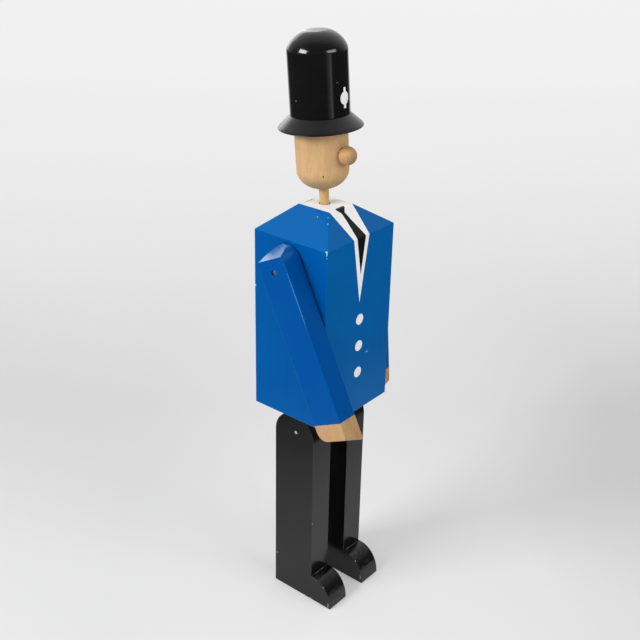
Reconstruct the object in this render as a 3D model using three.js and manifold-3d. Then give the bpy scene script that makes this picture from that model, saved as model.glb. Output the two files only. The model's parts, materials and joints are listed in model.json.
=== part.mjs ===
// A standing jointed figure of painted wood, nearly a metre tall: a blue box-shaped coat with
// sloping shoulders, board arms with bare-wood hands, black legs with shoes, and a turned head
// with a ball nose under a tall black hat. It faces -Y, +Z is up, and its right side is at -X.
// Units are millimetres. The origin is at floor level, in the middle of the figure's footprint.
//
// Glued and touching neighbours keep a small gap between their meshes, GLUE_GAP.

import * as THREE from 'three';
import { ConvexGeometry } from 'three/addons/geometries/ConvexGeometry.js';
import { mergeVertices } from 'three/addons/utils/BufferGeometryUtils.js';
import Module from 'manifold-3d';

const wasm = await Module();
wasm.setup();

// ---------------------------------------------------------------- driving dimensions

const GLUE_GAP = 0.3;
const RUNNING_CLEARANCE = 0.08;
const ROUND_SEGMENTS = 48;
const BORE_SEGMENTS = 24;

// How far cutting tools run past the wood, and how far two joined bodies run into each other.
const OVERSHOOT = 5;
const OVERLAP = 1;

// Coat: four mitred boards, a base board and a solid shoulder block like a hipped roof.
const COAT_WIDTH = 165;
const COAT_DEPTH = 143;
const COAT_BOTTOM_Z = 365;
const SHOULDER_Z = 670;
const COLLAR_Z = 706;
const COLLAR_WIDTH = 56;
const COLLAR_DEPTH = 61;
const BOARD = 15;
const PLUG_DEPTH = 12;

// Pivots: both pairs of limbs turn about lines along X, a little in front of the middle.
const PIVOT_Y = -2.5;
const SHOULDER_PIVOT_Z = 629.5;
const HIP_PIVOT_Z = 327;
const PIVOT_HOLE_GAP = 0.3;

// Arms: one board each, sloped off at both ends so that its outer face is the short one.
const ARM_GAP = 2.5;
const ARM_THICKNESS = 36.5;
const ARM_WIDTH = 55;
const ARM_ARCH_RISE = 9;
const ARM_TOP_OUTER = 21;
const ARM_TOP_SLOPE = 0.42;
const ARM_LENGTH_OUTER = 270.5;
const ARM_END_SLOPE = 0.384;
const HAND_BACK_RADIUS = 16;
const HAND_FRONT_RADIUS = 5;
const RIGHT_ARM_SWING_DEG = 26.4;
const LEFT_ARM_SWING_DEG = 4.9;

// Arm screws: cheese heads sunk in a counterbore, shanks running into the shoulder rail.
const ARM_SCREW_SHANK_RADIUS = 2.5;
const ARM_SCREW_HEAD_RADIUS = 4.4;
const ARM_SCREW_HEAD_HEIGHT = 3;
const ARM_SCREW_BITE = 25;
const PILOT_HOLE_SPARE = 2;
const SCREW_SLOT_WIDTH = 1.2;
const SCREW_SLOT_DEPTH = 1.4;
const SCREW_SLOT_TURN_DEG = 36;
const ARM_COUNTERBORE_RADIUS = 5;
const ARM_COUNTERBORE_DEPTH = 5.5;
const ARM_WASHER_RADIUS = 10;
const RAIL_SECTION = 40;

// Legs: leg and shoe cut from one board, with a round top that clears the coat as it swings.
const LEG_INNER_X = 22.7;
const LEG_THICKNESS = 45;
const LEG_DEPTH = 82.2;
const LEG_ARCH_Z = 319.3;

// The shoe in side view: from the crease a short straight tongue runs to the instep, and one
// Bezier curve goes on from there over the toe to the floor.
const CREASE_Z = 49.3;
const INSTEP = { y: -51.7, z: 48.6 };
const INSTEP_PULL = { y: -64.7, z: 46.8 };
const TOE_Y = -84.7;
const TOE_PULL_Z = 32;

// Hip: a block under the coat, a riveted steel pin through both legs, and two washers.
const HIP_BLOCK_DEPTH = 50;
const HIP_BLOCK_HEIGHT = 60;
const HIP_PIN_RADIUS = 2.5;
const HIP_PIN_HEAD_RADIUS = 3.1;
const HIP_COUNTERBORE_RADIUS = 3.5;
const HIP_COUNTERBORE_DEPTH = 2.5;
const HIP_PIN_SINK = 0.6;
const HIP_WASHER_THICKNESS = 1.2;
const HIP_WASHER_RADIUS = 11;
const HIP_SCREW_SPACING = 30;
const HIP_SCREW_LENGTH = 42;
const HIP_SCREW_RADIUS = 2.2;
const HIP_SCREW_HEAD_RADIUS = 4.6;
const SCREW_HEAD_LAND = 0.01;

// Neck, head and hat share one turning axis, which leans a little back and to the right.
const NECK_LEAN_BACK_DEG = 4.2;
const NECK_LEAN_RIGHT_DEG = 0.9;
const NECK_FOOT_Y = 1.8;
const NECK_RADIUS = 7.6;
const NECK_SUNK = 38;
const NECK_HOLE_SPARE = 2;
const NECK_IN_HEAD = 24;
const HEAD_BOTTOM = 23.5;
const HEAD_ROUND_HEIGHT = 30.5;
const HEAD_RADIUS = 40.5;
const HEAD_JAW_RADIUS = 40;
const NOSE_HEIGHT = 81;
const NOSE_REACH = 48.8;
const NOSE_RADIUS = 14;
const NOSE_PEG_RADIUS = 3;
const NOSE_PEG_LENGTH = 24;
const NOSE_PEG_FORWARD = 2;
const BRIM_BOTTOM = 119.5;
const BRIM_RADIUS = 64;
const BRIM_LIP = 1.6;
const BRIM_UNDERCUT = 1;
const BRIM_TOP = 138.8;
const CROWN_RADIUS = 44.9;
const CROWN_SIDE_TOP = 231.1;
const CROWN_TOP = 259.1;
const CROWN_FLAT_RADIUS = 16;
const CROWN_CURVE = 1.6;
const HAT_PEG_RADIUS = 6;
const HAT_PEG_DEPTH = 22;
const HAT_PEG_SPARE = 2;

// Derived sizes.
const INSIDE_WIDTH = COAT_WIDTH - 2 * BOARD - 2 * GLUE_GAP;
const INSIDE_DEPTH = COAT_DEPTH - 2 * BOARD - 2 * GLUE_GAP;
const ARM_INNER_X = COAT_WIDTH / 2 + ARM_GAP;
const ARM_OUTER_X = ARM_INNER_X + ARM_THICKNESS;
const LEG_OUTER_X = LEG_INNER_X + LEG_THICKNESS;
const HIP_BLOCK_WIDTH = 2 * (LEG_INNER_X - HIP_WASHER_THICKNESS - 2 * GLUE_GAP);

// ---------------------------------------------------------------- materials

function material(color, roughness, metalness = 0) {
  return new THREE.MeshStandardMaterial({ color, roughness, metalness });
}

const BLUE_LACQUER = { color: 0x005aa8, roughness: 0.25 };
const BLACK_LACQUER = { color: 0x1c1c1e, roughness: 0.2 };
const BARE_WOOD = { color: 0xd2a878, roughness: 0.55 };
const RAW_PINE = { color: 0xd9bd90, roughness: 0.8 };
const STEEL = { color: 0x9a9a9c, roughness: 0.4, metalness: 0.9 };
const BRASS = { color: 0xb08d4a, roughness: 0.35, metalness: 0.9 };

// ---------------------------------------------------------------- solids and booleans

// Turns a closed three.js geometry into a manifold solid, dropping triangles of zero area.
function solidOf(geometry) {
  const bare = geometry.clone();
  bare.deleteAttribute('normal');
  bare.deleteAttribute('uv');
  const merged = mergeVertices(bare, 1e-4);
  const index = merged.index.array;
  const triVerts = [];
  for (let i = 0; i < index.length; i += 3) {
    const [a, b, c] = [index[i], index[i + 1], index[i + 2]];
    if (a !== b && b !== c && c !== a) triVerts.push(a, b, c);
  }
  return new wasm.Manifold(new wasm.Mesh({
    numProp: 3,
    vertProperties: Float32Array.from(merged.attributes.position.array),
    triVerts: Uint32Array.from(triVerts),
  }));
}

function geometryOf(solid) {
  const mesh = solid.getMesh();
  const geometry = new THREE.BufferGeometry();
  geometry.setAttribute('position', new THREE.BufferAttribute(mesh.vertProperties, 3));
  geometry.setIndex(new THREE.BufferAttribute(mesh.triVerts, 1));
  geometry.computeVertexNormals();
  return geometry;
}

function cut(geometry, ...tools) {
  let solid = solidOf(geometry);
  for (const tool of tools) solid = solid.subtract(solidOf(tool));
  return geometryOf(solid);
}

function join(...geometries) {
  let solid = solidOf(geometries[0]);
  for (const geometry of geometries.slice(1)) solid = solid.add(solidOf(geometry));
  return geometryOf(solid);
}

function intersect(first, second) {
  return geometryOf(solidOf(first).intersect(solidOf(second)));
}

// The same shape on the figure's other side.
function mirrored(geometry) {
  const copy = geometry.clone();
  copy.scale(-1, 1, 1);
  const index = copy.index.array;
  for (let i = 0; i < index.length; i += 3) {
    [index[i + 1], index[i + 2]] = [index[i + 2], index[i + 1]];
  }
  copy.computeVertexNormals();
  return copy;
}

function box(width, depth, lowZ, highZ, x = 0, y = 0) {
  const geometry = new THREE.BoxGeometry(width, depth, highZ - lowZ);
  return geometry.translate(x, y, (lowZ + highZ) / 2);
}

// A cylinder along X from x0 to x1, about the line (y, z).
function barX(radius, x0, x1, y, z, segments = BORE_SEGMENTS) {
  const length = Math.abs(x1 - x0);
  const geometry = new THREE.CylinderGeometry(radius, radius, length, segments);
  return geometry.rotateZ(Math.PI / 2).translate((x0 + x1) / 2, y, z);
}

// A cylinder along Z from z0 to z1.
function barZ(radius, z0, z1, x = 0, y = 0, segments = BORE_SEGMENTS) {
  const geometry = new THREE.CylinderGeometry(radius, radius, z1 - z0, segments);
  return geometry.rotateX(Math.PI / 2).translate(x, y, (z0 + z1) / 2);
}

// A turned solid about Z from [radius, height] pairs, listed from the bottom up.
function turned(profile, segments = ROUND_SEGMENTS) {
  const points = profile.map(([radius, height]) => new THREE.Vector2(radius, height));
  return geometryOf(solidOf(new THREE.LatheGeometry(points, segments).rotateX(Math.PI / 2)));
}

// A prism along X between x0 and x1 from a shape drawn in the (y, z) plane.
function prismX(shape, x0, x1, curveSegments = 12) {
  const geometry = new THREE.ExtrudeGeometry(shape, {
    depth: x1 - x0,
    bevelEnabled: false,
    curveSegments,
  });
  const drawnToWorld = new THREE.Matrix4().makeBasis(
    new THREE.Vector3(0, 1, 0),
    new THREE.Vector3(0, 0, 1),
    new THREE.Vector3(1, 0, 0),
  );
  return geometry.applyMatrix4(drawnToWorld).translate(x0, 0, 0);
}

// Makes z change with x by the given slope, counted from x = fromX.
function shearedInZ(geometry, slope, fromX) {
  const shear = new THREE.Matrix4().set(
    1, 0, 0, 0,
    0, 1, 0, 0,
    slope, 0, 1, -slope * fromX,
    0, 0, 0, 1,
  );
  return geometry.applyMatrix4(shear);
}

function piece(name, geometry, look) {
  const mesh = new THREE.Mesh(geometry, material(look.color, look.roughness, look.metalness));
  mesh.name = name;
  return mesh;
}

// ---------------------------------------------------------------- coat

// A board with mitred upright edges; its face looks towards -Y, faceDistance from the axis.
function mitredBoard(faceWidth, faceDistance) {
  const mitreGap = GLUE_GAP / Math.SQRT2;
  const half = faceWidth / 2 - mitreGap;
  const shape = new THREE.Shape([
    new THREE.Vector2(-half, -faceDistance),
    new THREE.Vector2(half, -faceDistance),
    new THREE.Vector2(half - BOARD, -faceDistance + BOARD),
    new THREE.Vector2(-half + BOARD, -faceDistance + BOARD),
  ]);
  const geometry = new THREE.ExtrudeGeometry(shape, {
    depth: SHOULDER_Z - COAT_BOTTOM_Z,
    bevelEnabled: false,
  });
  return geometry.translate(0, 0, COAT_BOTTOM_Z);
}

function sideBoard(side) {
  const board = mitredBoard(COAT_DEPTH, COAT_WIDTH / 2).rotateZ(side * Math.PI / 2);
  const inside = side * (COAT_WIDTH / 2 - BOARD - OVERSHOOT);
  const outside = side * (COAT_WIDTH / 2 + OVERSHOOT);
  const hole = ARM_SCREW_SHANK_RADIUS + PIVOT_HOLE_GAP;
  return cut(board, barX(hole, inside, outside, PIVOT_Y, SHOULDER_PIVOT_Z));
}

function levelCorners(width, depth, z) {
  const signs = [[-1, -1], [1, -1], [1, 1], [-1, 1]];
  return signs.map(([sx, sy]) => new THREE.Vector3(sx * width / 2, sy * depth / 2, z));
}

// The hipped block, with a plug that drops between the boards and the slanted neck hole.
function shoulderBlock() {
  const seatZ = SHOULDER_Z + GLUE_GAP;
  const lift = GLUE_GAP / (COLLAR_Z - SHOULDER_Z);
  const seatWidth = THREE.MathUtils.lerp(COAT_WIDTH, COLLAR_WIDTH, lift);
  const seatDepth = THREE.MathUtils.lerp(COAT_DEPTH, COLLAR_DEPTH, lift);
  const corners = [
    ...levelCorners(seatWidth, seatDepth, seatZ),
    ...levelCorners(COLLAR_WIDTH, COLLAR_DEPTH, COLLAR_Z),
  ];
  const roof = new ConvexGeometry(corners);
  const plug = box(INSIDE_WIDTH, INSIDE_DEPTH, seatZ - PLUG_DEPTH, seatZ + OVERLAP);
  const neckHole = barZ(NECK_RADIUS + RUNNING_CLEARANCE, -NECK_SUNK - NECK_HOLE_SPARE, OVERSHOOT);
  neckHole.applyMatrix4(neckPlacement());
  return cut(join(roof, plug), neckHole);
}

// A bar from side board to side board that takes the two arm screws in its ends.
function shoulderRail() {
  const bottomZ = SHOULDER_PIVOT_Z - RAIL_SECTION / 2;
  const rail = box(INSIDE_WIDTH, RAIL_SECTION, bottomZ, bottomZ + RAIL_SECTION, 0, PIVOT_Y);
  const pilots = [-1, 1].map((side) => {
    const end = side * (INSIDE_WIDTH / 2 + OVERSHOOT);
    const bottom = side * (INSIDE_WIDTH / 2 - ARM_SCREW_BITE - PILOT_HOLE_SPARE);
    return barX(ARM_SCREW_SHANK_RADIUS + PIVOT_HOLE_GAP, end, bottom, PIVOT_Y, SHOULDER_PIVOT_Z);
  });
  return cut(rail, ...pilots);
}

const HIP_SCREW_YS = [PIVOT_Y - HIP_SCREW_SPACING / 2, PIVOT_Y + HIP_SCREW_SPACING / 2];

function coatBase() {
  const topZ = COAT_BOTTOM_Z + BOARD;
  const board = box(INSIDE_WIDTH, INSIDE_DEPTH, COAT_BOTTOM_Z, topZ);
  const tools = [];
  for (const y of HIP_SCREW_YS) {
    const radius = HIP_SCREW_RADIUS + PIVOT_HOLE_GAP;
    tools.push(barZ(radius, COAT_BOTTOM_Z - OVERSHOOT, topZ + OVERSHOOT, 0, y));
    tools.push(countersunkHead(GLUE_GAP).translate(0, y, topZ));
  }
  return cut(board, ...tools);
}

function hipBlock() {
  const topZ = COAT_BOTTOM_Z - GLUE_GAP;
  const bottomZ = COAT_BOTTOM_Z - HIP_BLOCK_HEIGHT;
  const block = box(HIP_BLOCK_WIDTH, HIP_BLOCK_DEPTH, bottomZ, topZ, 0, PIVOT_Y);
  const end = HIP_BLOCK_WIDTH / 2 + OVERSHOOT;
  const tools = [barX(HIP_PIN_RADIUS + PIVOT_HOLE_GAP, -end, end, PIVOT_Y, HIP_PIVOT_Z)];
  const tip = COAT_BOTTOM_Z + BOARD - HIP_SCREW_LENGTH - PILOT_HOLE_SPARE;
  for (const y of HIP_SCREW_YS) {
    tools.push(barZ(HIP_SCREW_RADIUS + PIVOT_HOLE_GAP, tip, topZ + OVERSHOOT, 0, y));
  }
  return cut(block, ...tools);
}

// The cone of a countersunk head with a thin flat land on top, widest at z = 0. A margin grows it
// for its hole, which runs on upwards past the wood.
function countersunkHead(margin = 0) {
  const radius = HIP_SCREW_HEAD_RADIUS + margin;
  const neck = HIP_SCREW_RADIUS + margin;
  const bottom = neck - radius;
  const top = margin > 0 ? OVERSHOOT : SCREW_HEAD_LAND;
  const profile = [[0, bottom], [neck, bottom], [radius, 0], [radius, top], [0, top]];
  return turned(profile, BORE_SEGMENTS);
}

function hipBlockScrew(y) {
  const topZ = COAT_BOTTOM_Z + BOARD - SCREW_HEAD_LAND;
  const slotZ = topZ - SCREW_SLOT_DEPTH;
  const slotLength = 2 * HIP_SCREW_HEAD_RADIUS + OVERLAP;
  const shank = barZ(HIP_SCREW_RADIUS, topZ - HIP_SCREW_LENGTH, topZ - OVERLAP, 0, y);
  const slot = box(slotLength, SCREW_SLOT_WIDTH, slotZ, topZ + OVERLAP, 0, y);
  return cut(join(countersunkHead().translate(0, y, topZ), shank), slot);
}

// ---------------------------------------------------------------- arms

// The right arm, hanging straight down from its pivot at the local origin.
function armBoard() {
  const half = ARM_WIDTH / 2;
  const endZ = -ARM_LENGTH_OUTER - ARM_END_SLOPE * ARM_THICKNESS - OVERSHOOT;
  const outline = new THREE.Shape();
  outline.moveTo(-half, endZ);
  outline.lineTo(half, endZ);
  outline.lineTo(half, ARM_ARCH_RISE);
  outline.absarc(0, ARM_ARCH_RISE, half, 0, Math.PI);
  outline.closePath();
  const board = prismX(outline, -ARM_OUTER_X, -ARM_INNER_X, 24);
  return intersect(cut(board, armTopSlope()), armEndSlope());
}

// The wedge that the sloping cut takes off the outer side of the shoulder end.
function armTopSlope() {
  const reach = ARM_THICKNESS + OVERSHOOT;
  const wedge = new THREE.Shape();
  wedge.moveTo(-OVERSHOOT, ARM_TOP_OUTER - ARM_TOP_SLOPE * OVERSHOOT);
  wedge.lineTo(reach, ARM_TOP_OUTER + ARM_TOP_SLOPE * reach);
  wedge.lineTo(reach, ARM_LENGTH_OUTER);
  wedge.lineTo(-OVERSHOOT, ARM_LENGTH_OUTER);
  wedge.closePath();
  const depth = ARM_WIDTH + 2 * OVERSHOOT;
  const geometry = new THREE.ExtrudeGeometry(wedge, { depth, bevelEnabled: false });
  return geometry.rotateX(Math.PI / 2).translate(-ARM_OUTER_X, depth / 2, 0);
}

// The space that the hand end keeps: its lower corners are rounded and it slopes inwards and down.
function armEndSlope() {
  const half = ARM_WIDTH / 2;
  const bottom = -ARM_LENGTH_OUTER;
  const clear = half + OVERLAP;
  const top = ARM_WIDTH + OVERSHOOT;
  const frontTurn = [-half + HAND_FRONT_RADIUS, bottom + HAND_FRONT_RADIUS, HAND_FRONT_RADIUS];
  const backTurn = [half - HAND_BACK_RADIUS, bottom + HAND_BACK_RADIUS, HAND_BACK_RADIUS];
  const outline = new THREE.Shape();
  outline.moveTo(-clear, top);
  outline.lineTo(-clear, bottom / 2);
  outline.lineTo(-half, bottom / 2);
  outline.lineTo(-half, bottom + HAND_FRONT_RADIUS);
  outline.absarc(...frontTurn, Math.PI, 1.5 * Math.PI);
  outline.lineTo(half - HAND_BACK_RADIUS, bottom);
  outline.absarc(...backTurn, -0.5 * Math.PI, 0);
  outline.lineTo(half, bottom / 2);
  outline.lineTo(clear, bottom / 2);
  outline.lineTo(clear, top);
  outline.closePath();
  const prism = prismX(outline, -ARM_OUTER_X - OVERLAP, -ARM_INNER_X + OVERLAP, 8);
  return shearedInZ(prism, -ARM_END_SLOPE, -ARM_OUTER_X);
}

function rightArm() {
  const counterboreEnd = -ARM_OUTER_X + ARM_COUNTERBORE_DEPTH;
  const bore = ARM_SCREW_SHANK_RADIUS + RUNNING_CLEARANCE;
  return cut(
    armBoard(),
    barX(bore, -ARM_OUTER_X - OVERSHOOT, -ARM_INNER_X + OVERSHOOT, 0, 0),
    barX(ARM_COUNTERBORE_RADIUS, -ARM_OUTER_X - OVERSHOOT, counterboreEnd, 0, 0),
  );
}

function rightArmScrew() {
  const seat = -ARM_OUTER_X + ARM_COUNTERBORE_DEPTH - GLUE_GAP;
  const face = seat - ARM_SCREW_HEAD_HEIGHT;
  const tip = -INSIDE_WIDTH / 2 + ARM_SCREW_BITE;
  const head = barX(ARM_SCREW_HEAD_RADIUS, face, seat, PIVOT_Y, SHOULDER_PIVOT_Z);
  const shank = barX(ARM_SCREW_SHANK_RADIUS, seat - OVERLAP, tip, PIVOT_Y, SHOULDER_PIVOT_Z);
  const slotLength = 2 * ARM_SCREW_HEAD_RADIUS + OVERLAP;
  const slot = new THREE.BoxGeometry(2 * SCREW_SLOT_DEPTH, SCREW_SLOT_WIDTH, slotLength);
  slot.rotateX(THREE.MathUtils.degToRad(SCREW_SLOT_TURN_DEG));
  slot.translate(face, PIVOT_Y, SHOULDER_PIVOT_Z);
  return cut(join(head, shank), slot);
}

function rightArmWasher() {
  const inner = -COAT_WIDTH / 2 - GLUE_GAP;
  const outer = -ARM_INNER_X + GLUE_GAP;
  const hole = ARM_SCREW_SHANK_RADIUS + PIVOT_HOLE_GAP;
  return cut(
    barX(ARM_WASHER_RADIUS, outer, inner, PIVOT_Y, SHOULDER_PIVOT_Z),
    barX(hole, outer - OVERSHOOT, inner + OVERSHOOT, PIVOT_Y, SHOULDER_PIVOT_Z),
  );
}

// ---------------------------------------------------------------- legs and hip pin

function rightLeg() {
  const half = LEG_DEPTH / 2;
  const outline = new THREE.Shape();
  outline.moveTo(half, 0);
  outline.lineTo(half, LEG_ARCH_Z);
  outline.absarc(0, LEG_ARCH_Z, half, 0, Math.PI);
  outline.lineTo(-half, CREASE_Z);
  outline.lineTo(INSTEP.y, INSTEP.z);
  outline.bezierCurveTo(INSTEP_PULL.y, INSTEP_PULL.z, TOE_Y, TOE_PULL_Z, TOE_Y, 0);
  outline.closePath();
  const leg = prismX(outline, -LEG_OUTER_X, -LEG_INNER_X, 20);
  const counterboreEnd = -LEG_OUTER_X + HIP_COUNTERBORE_DEPTH;
  const bore = HIP_PIN_RADIUS + RUNNING_CLEARANCE;
  return cut(
    leg,
    barX(bore, -LEG_OUTER_X - OVERSHOOT, -LEG_INNER_X + OVERSHOOT, PIVOT_Y, HIP_PIVOT_Z),
    barX(HIP_COUNTERBORE_RADIUS, -LEG_OUTER_X - OVERSHOOT, counterboreEnd, PIVOT_Y, HIP_PIVOT_Z),
  );
}

// A rod through both legs, its two ends spread into heads that sit in the counterbores.
function hipPin() {
  const end = LEG_OUTER_X - HIP_PIN_SINK;
  const seat = LEG_OUTER_X - HIP_COUNTERBORE_DEPTH + GLUE_GAP;
  return join(
    barX(HIP_PIN_RADIUS, -seat - OVERLAP, seat + OVERLAP, PIVOT_Y, HIP_PIVOT_Z),
    barX(HIP_PIN_HEAD_RADIUS, -end, -seat, PIVOT_Y, HIP_PIVOT_Z),
    barX(HIP_PIN_HEAD_RADIUS, seat, end, PIVOT_Y, HIP_PIVOT_Z),
  );
}

function rightHipWasher() {
  const outer = -LEG_INNER_X + GLUE_GAP;
  const inner = outer + HIP_WASHER_THICKNESS;
  return cut(
    barX(HIP_WASHER_RADIUS, outer, inner, PIVOT_Y, HIP_PIVOT_Z),
    barX(HIP_PIN_RADIUS + PIVOT_HOLE_GAP, outer - OVERSHOOT, inner + OVERSHOOT, PIVOT_Y, HIP_PIVOT_Z),
  );
}

// ---------------------------------------------------------------- neck, head and hat

// Where the neck leaves the collar, leaning back (towards +Y) and to the right (towards -X).
function neckPlacement() {
  const lean = new THREE.Euler(
    -THREE.MathUtils.degToRad(NECK_LEAN_BACK_DEG),
    -THREE.MathUtils.degToRad(NECK_LEAN_RIGHT_DEG),
    0,
  );
  const foot = new THREE.Vector3(0, NECK_FOOT_Y, COLLAR_Z);
  return new THREE.Matrix4().compose(
    foot,
    new THREE.Quaternion().setFromEuler(lean),
    new THREE.Vector3(1, 1, 1),
  );
}

// The head's round bottom: a quarter ellipse from the axis out to the jaw.
function headBowl(steps) {
  const points = [[0, HEAD_BOTTOM]];
  for (let i = 1; i <= steps; i += 1) {
    const angle = (Math.PI / 2) * (i / steps);
    const drop = HEAD_ROUND_HEIGHT * (1 - Math.cos(angle));
    points.push([HEAD_JAW_RADIUS * Math.sin(angle), HEAD_BOTTOM + drop]);
  }
  return points;
}

function head() {
  const top = BRIM_BOTTOM - GLUE_GAP;
  const blank = turned([...headBowl(12), [HEAD_RADIUS, top], [0, top]]);
  const socket = new THREE.SphereGeometry(NOSE_RADIUS + GLUE_GAP, 28, 18);
  socket.translate(0, -NOSE_REACH, NOSE_HEIGHT);
  return cut(
    blank,
    barZ(NECK_RADIUS + GLUE_GAP, HEAD_BOTTOM - OVERSHOOT, HEAD_BOTTOM + NECK_IN_HEAD + OVERLAP),
    barZ(HAT_PEG_RADIUS + GLUE_GAP, top - HAT_PEG_DEPTH, top + OVERSHOOT),
    socket,
    nosePeg(GLUE_GAP),
  );
}

function neckDowel() {
  return barZ(NECK_RADIUS, -NECK_SUNK, HEAD_BOTTOM + NECK_IN_HEAD, 0, 0, BORE_SEGMENTS);
}

// The peg from the middle of the nose into the face, grown by a margin for its hole.
function nosePeg(margin = 0) {
  const front = -NOSE_REACH - NOSE_PEG_FORWARD - margin;
  const back = front + NOSE_PEG_LENGTH + 2 * margin;
  const geometry = new THREE.CylinderGeometry(
    NOSE_PEG_RADIUS + margin,
    NOSE_PEG_RADIUS + margin,
    back - front,
    BORE_SEGMENTS,
  );
  return geometry.translate(0, (front + back) / 2, NOSE_HEIGHT);
}

function nose() {
  const ball = new THREE.SphereGeometry(NOSE_RADIUS, 28, 18).translate(0, -NOSE_REACH, NOSE_HEIGHT);
  return cut(ball, nosePeg(GLUE_GAP));
}

function hatBrim() {
  const blank = turned([
    [0, BRIM_BOTTOM],
    [BRIM_RADIUS - BRIM_UNDERCUT, BRIM_BOTTOM],
    [BRIM_RADIUS, BRIM_BOTTOM + BRIM_LIP],
    [CROWN_RADIUS, BRIM_TOP],
    [0, BRIM_TOP],
  ]);
  return cut(blank, hatPeg(GLUE_GAP));
}

// From the crown's side up to the rim of its small flat top, along a superellipse whose exponent
// is CROWN_CURVE: below 2, it is slacker in the middle than an ellipse.
function crownDome(steps) {
  const points = [];
  for (let i = 0; i <= steps; i += 1) {
    const angle = (Math.PI / 2) * (i / steps);
    const across = Math.cos(angle) ** (2 / CROWN_CURVE);
    const up = Math.sin(angle) ** (2 / CROWN_CURVE);
    points.push([
      THREE.MathUtils.lerp(CROWN_FLAT_RADIUS, CROWN_RADIUS, across),
      THREE.MathUtils.lerp(CROWN_SIDE_TOP, CROWN_TOP, up),
    ]);
  }
  return points;
}

function hatCrown() {
  const side = BRIM_TOP + GLUE_GAP;
  const blank = turned([[0, side], [CROWN_RADIUS, side], ...crownDome(14), [0, CROWN_TOP]]);
  return cut(blank, hatPeg(GLUE_GAP));
}

function hatPeg(margin = 0) {
  const low = BRIM_BOTTOM - HAT_PEG_DEPTH + HAT_PEG_SPARE - margin;
  return barZ(HAT_PEG_RADIUS + margin, low, BRIM_TOP + HAT_PEG_DEPTH + margin);
}

// ---------------------------------------------------------------- the figure

const frontBoard = geometryOf(solidOf(mitredBoard(COAT_WIDTH, COAT_DEPTH / 2)));
const backBoard = frontBoard.clone().rotateZ(Math.PI);

const coat = new THREE.Group();
coat.add(
  piece('coat_front', frontBoard, BLUE_LACQUER),
  piece('coat_back', backBoard, BLUE_LACQUER),
  piece('coat_right_side', sideBoard(-1), BLUE_LACQUER),
  piece('coat_left_side', sideBoard(1), BLUE_LACQUER),
  piece('coat_base', coatBase(), RAW_PINE),
  piece('shoulder_block', shoulderBlock(), BLUE_LACQUER),
  piece('shoulder_rail', shoulderRail(), RAW_PINE),
  piece('hip_block', hipBlock(), BLACK_LACQUER),
  piece('hip_block_screw_front', hipBlockScrew(HIP_SCREW_YS[0]), STEEL),
  piece('hip_block_screw_back', hipBlockScrew(HIP_SCREW_YS[1]), STEEL),
  piece('hip_pin', hipPin(), BRASS),
  piece('right_arm_screw', rightArmScrew(), STEEL),
  piece('left_arm_screw', mirrored(rightArmScrew()), STEEL),
  piece('right_arm_washer', rightArmWasher(), STEEL),
  piece('left_arm_washer', mirrored(rightArmWasher()), STEEL),
  piece('right_hip_washer', rightHipWasher(), STEEL),
  piece('left_hip_washer', mirrored(rightHipWasher()), STEEL),
);

function arm(name, geometry, swingDegrees) {
  const group = new THREE.Group();
  group.position.set(0, PIVOT_Y, SHOULDER_PIVOT_Z);
  group.rotation.x = -THREE.MathUtils.degToRad(swingDegrees);
  group.add(piece(name, geometry, BLUE_LACQUER));
  return group;
}

const legs = new THREE.Group();
legs.add(
  piece('right_leg', rightLeg(), BLACK_LACQUER),
  piece('left_leg', mirrored(rightLeg()), BLACK_LACQUER),
);

const headAndHat = new THREE.Group();
headAndHat.applyMatrix4(neckPlacement());
headAndHat.add(
  piece('neck_dowel', neckDowel(), BARE_WOOD),
  piece('head', head(), BARE_WOOD),
  piece('nose', nose(), BARE_WOOD),
  piece('nose_peg', nosePeg(), BARE_WOOD),
  piece('hat_brim', hatBrim(), BLACK_LACQUER),
  piece('hat_crown', hatCrown(), BLACK_LACQUER),
  piece('hat_peg', hatPeg(), RAW_PINE),
);

const figure = new THREE.Group();
figure.add(
  coat,
  legs,
  arm('right_arm', rightArm(), RIGHT_ARM_SWING_DEG),
  arm('left_arm', mirrored(rightArm()), LEFT_ARM_SWING_DEG),
  headAndHat,
);

// Bring the middle of the footprint to the origin: the raised right hand reaches forward.
figure.updateMatrixWorld(true);
const footprint = new THREE.Box3().setFromObject(figure, true);
figure.position.y = -(footprint.min.y + footprint.max.y) / 2;

export default figure;
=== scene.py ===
"""Looks for a jointed figure of painted wood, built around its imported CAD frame.

The figure faces -Y, its right side is at -X and +Z is up. Lengths are metres, and MM turns
millimetres into metres. Every wooden part is rebuilt with soft arrises, the shirt, tie, buttons and
badge lie on it as thin films of paint, and the hardware is turned finely. Parts that come in pairs
are made for the left side, at +X, and mirrored for the right.
"""

import json
import math

import bmesh
import bpy
from mathutils import Matrix, Vector


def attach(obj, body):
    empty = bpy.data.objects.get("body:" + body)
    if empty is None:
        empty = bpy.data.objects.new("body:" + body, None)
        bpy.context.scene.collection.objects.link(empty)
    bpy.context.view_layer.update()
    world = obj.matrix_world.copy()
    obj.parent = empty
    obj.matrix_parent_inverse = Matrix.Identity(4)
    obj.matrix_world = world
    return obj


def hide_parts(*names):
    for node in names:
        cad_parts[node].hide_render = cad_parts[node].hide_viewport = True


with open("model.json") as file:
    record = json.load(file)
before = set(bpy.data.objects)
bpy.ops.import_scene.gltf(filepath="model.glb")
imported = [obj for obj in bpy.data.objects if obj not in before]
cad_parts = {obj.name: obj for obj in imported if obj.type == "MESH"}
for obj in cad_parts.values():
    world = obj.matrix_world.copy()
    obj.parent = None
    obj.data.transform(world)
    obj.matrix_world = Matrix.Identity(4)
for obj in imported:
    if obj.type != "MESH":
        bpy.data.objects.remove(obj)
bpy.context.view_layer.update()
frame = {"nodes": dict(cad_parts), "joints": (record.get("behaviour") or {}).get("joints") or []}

MM = 0.001
LEFT, RIGHT = 1, -1
SIDE_NAMES = {LEFT: "left", RIGHT: "right"}

# ---------------- sizes that the frame doesn't state

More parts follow.
